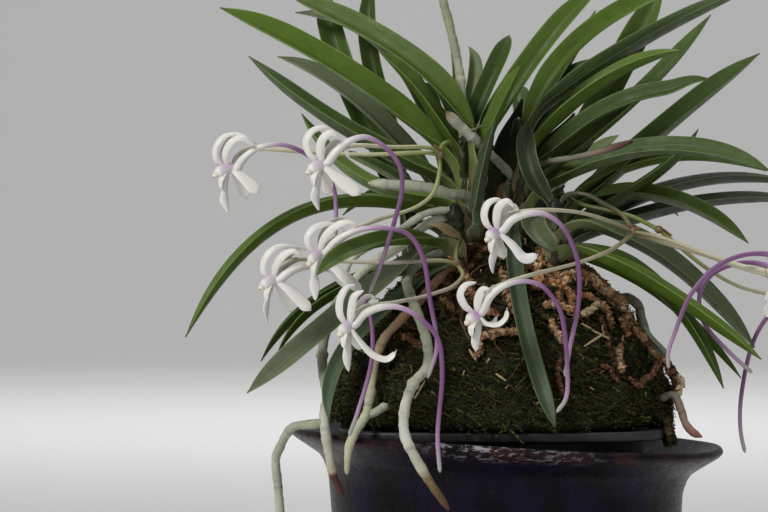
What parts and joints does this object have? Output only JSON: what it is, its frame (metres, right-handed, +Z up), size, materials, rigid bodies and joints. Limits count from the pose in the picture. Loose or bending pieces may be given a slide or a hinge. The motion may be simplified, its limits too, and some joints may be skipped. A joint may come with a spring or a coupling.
{
  "type": "potted orchid",
  "caption": "Wind orchid with narrow arching leaves, hanging roots and long-spurred white blooms, on a moss mound in a liner pot inside a flared glazed pot.",
  "frame": {"origin": "centre of the glazed pot's flat underside", "axes": "+Z up along the pot's axis, -Y towards the front, where most of the blooms hang, +X to the right seen from the front"},
  "size_m": [0.1533, 0.1177, 0.2032],
  "materials": {
    "glaze": "gloss",
    "liner_plastic": "satin",
    "moss": "matte",
    "dry_moss": "matte",
    "leaf": "satin",
    "root": "matte",
    "stalk": "satin",
    "bloom": "satin"
  },
  "bodies": {
    "root": {"pot_glazed": "glaze", "pot_liner": "liner_plastic", "moss_mound": "moss", "moss_dry": "dry_moss", "fan_front_left": "leaf", "fan_left": "leaf", "fan_back_left": "leaf", "fan_far_left": "leaf", "fan_back": "leaf", "fan_middle": "leaf", "fan_right": "leaf", "fan_front_right": "leaf", "fan_rear": "leaf", "root_upright": "root", "root_stub": "root", "root_short": "root", "root_level": "root", "root_long_left": "root", "root_thin": "root", "root_tan": "root", "root_front": "root", "root_right": "root", "root_right_low": "root", "root_dark": "root", "stalk_a": "stalk", "stalk_b": "stalk", "stalk_c": "stalk", "stalk_d": "stalk", "bloom_1": "bloom", "bloom_2": "bloom", "bloom_3": "bloom", "bloom_4": "bloom", "bloom_5": "bloom", "bloom_6": "bloom", "bloom_7": "bloom", "bloom_8": "bloom", "bloom_9": "bloom", "bloom_10": "bloom"}
  },
  "joints": []
}
